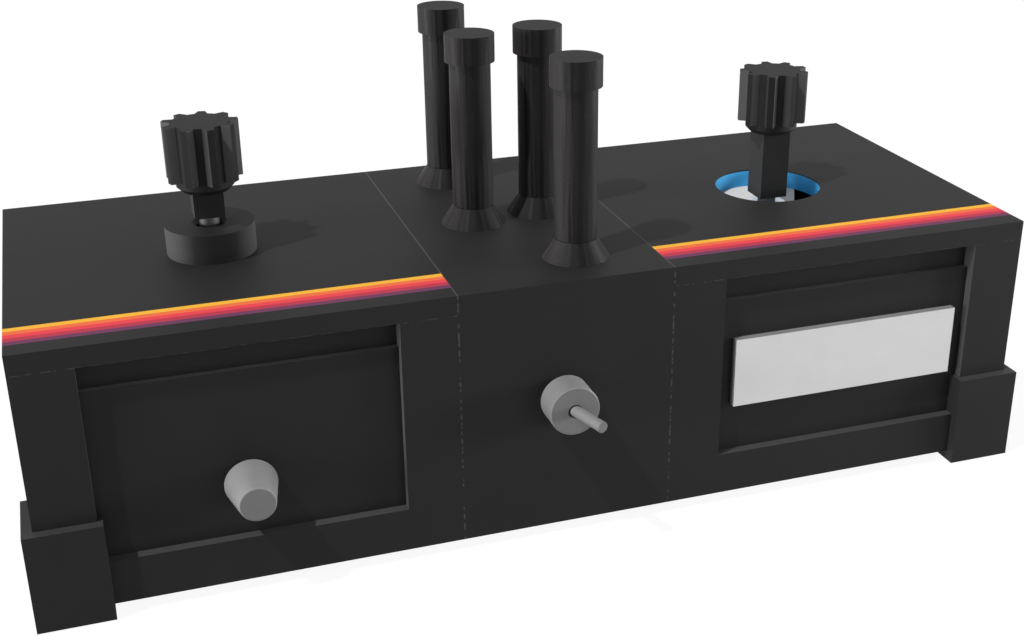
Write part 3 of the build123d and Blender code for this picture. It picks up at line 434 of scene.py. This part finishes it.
def seenDirectly(graph):
    rays = ("Is Camera Ray", "Is Glossy Ray", "Is Transmission Ray")
    camera, glossy, clear = (graph.node("ShaderNodeLightPath", output=ray) for ray in rays)
    return graph.band(camera + glossy + clear, 0.0, 1.0)


def makeSky(values):
    world = bpy.data.worlds.new("studio")
    bpy.context.scene.world = world
    world.use_nodes = True
    graph = Graph(world.node_tree)
    sky = world.node_tree.nodes["Background"]
    sky.inputs["Color"].default_value = (1, 1, 1, 1)
    strength = values["light"] + seenDirectly(graph) * (values["seen"] - values["light"])
    graph.feed(sky.inputs["Strength"], strength)


makeSky(skyValues)

# Floor: a pale sheet that glows white to the camera and still keeps a faint contact shadow
floorValues = {"half": 6.0, "below": 0.0003, "albedo": 0.42, "seenAlbedo": 0.8, "shadowShare": 0.08}


def makeFloor(values):
    half = values["half"]
    mesh = bpy.data.meshes.new("floor")
    corners = [(-half, -half, 0), (half, -half, 0), (half, half, 0), (-half, half, 0)]
    mesh.from_pydata(corners, [], [(0, 1, 2, 3)])
    floor = bpy.data.objects.new("floor", mesh)
    bpy.context.scene.collection.objects.link(floor)
    floor.location.z = -values["below"]
    material = bpy.data.materials.new("floorSheet")
    material.use_nodes = True
    tree = material.node_tree
    tree.nodes.remove(tree.nodes["Principled BSDF"])
    graph = Graph(tree)
    glow = graph.node("ShaderNodeEmission")
    albedos = ((part, part, part, 1) for part in (values["seenAlbedo"], values["albedo"]))
    seenSheet, dimSheet = (graph.node("ShaderNodeBsdfDiffuse", None, {"Color": part}) for part in albedos)
    seen = graph.node("ShaderNodeMixShader", None, [values["shadowShare"], glow, seenSheet])
    chosen = graph.node("ShaderNodeMixShader", None, [seenDirectly(graph), dimSheet, seen])
    graph.feed(tree.nodes["Material Output"].inputs["Surface"], chosen)
    mesh.materials.append(material)


makeFloor(floorValues)


# Lamps: a hard key lamp from the upper left, soft ones low at both sides and before the front, and
# a wide soft one above
def placeLamp(name, lamp, toward, place=(0, 0, 0)):
    holder = bpy.data.objects.new(name, lamp)
    holder.location = place
    holder.rotation_mode = "QUATERNION"
    holder.rotation_quaternion = Vector(toward).to_track_quat("-Z", "Y")
    bpy.context.scene.collection.objects.link(holder)


def keyLamp(name, toward, strength, spread):
    lamp = bpy.data.lights.new(name, "SUN")
    lamp.energy, lamp.angle = strength, math.radians(spread)
    placeLamp(name, lamp, toward)


def softLamp(name, place, power, wide, high):
    lamp = bpy.data.lights.new(name, "AREA")
    lamp.shape = "RECTANGLE"
    lamp.energy, lamp.size, lamp.size_y = power, wide, high
    placeLamp(name, lamp, Vector(lampAim) - Vector(place), place)


lampAim = (0.0, 0.0, 0.05)
keyValues = {"toward": (0.59, 0.224, -1.0), "strength": 3.4, "spread": 1.5}
softValues = {
    "leftBackLamp": {"place": (-1.2, 0.15, 0.06), "power": 9.0, "wide": 0.3, "high": 0.14},
    "leftLamp": {"place": (-1.2, -0.24, 0.18), "power": 12.0, "wide": 0.4, "high": 0.3},
    "rightLamp": {"place": (1.2, -0.24, 0.18), "power": 21.0, "wide": 0.4, "high": 0.3},
    "lowLamp": {"place": (0.5, -0.9, 0.03), "power": 3.0, "wide": 0.4, "high": 0.2},
    "topLamp": {"place": (0.0, 0.1, 1.5), "power": 4.2, "wide": 1.2, "high": 1.2}}
keyLamp("keyLamp", **keyValues)
for name, values in softValues.items():
    softLamp(name, **values)
bpy.context.scene.view_settings.view_transform = "Standard"
print("studio lit")

# Camera: its place, the way it looks and its lens, worked out from the outlines of the row. Focal
# length and centre are in pixels of the image
cameraValues = {
    "place": (-0.10784, -0.34355, 0.19821), "turn": (1.9664, -0.3324, 0.2136), "focal": 1449.89,
    "centre": (554.54, 328.72), "image": (1024, 636), "sensor": 36.0, "clip": (0.01, 20.0)}


def makeCamera(values):
    turn = Vector(values["turn"])
    world = Matrix.Rotation(turn.length, 3, turn.normalized())
    right, up, back = world[0], -world[1], -world[2]
    wide, high = values["image"]
    lens = bpy.data.cameras.new("camera")
    lens.sensor_fit, lens.sensor_width = "HORIZONTAL", values["sensor"]
    lens.lens = values["sensor"] * values["focal"] / wide
    lens.shift_x = (wide / 2 - values["centre"][0]) / wide
    lens.shift_y = (values["centre"][1] - high / 2) / wide
    lens.clip_start, lens.clip_end = values["clip"]
    camera = bpy.data.objects.new("camera", lens)
    facing = Matrix((right, up, back)).transposed().to_4x4()
    camera.matrix_world = Matrix.Translation(values["place"]) @ facing
    bpy.context.scene.collection.objects.link(camera)
    bpy.context.scene.camera = camera


makeCamera(cameraValues)
print("camera set")
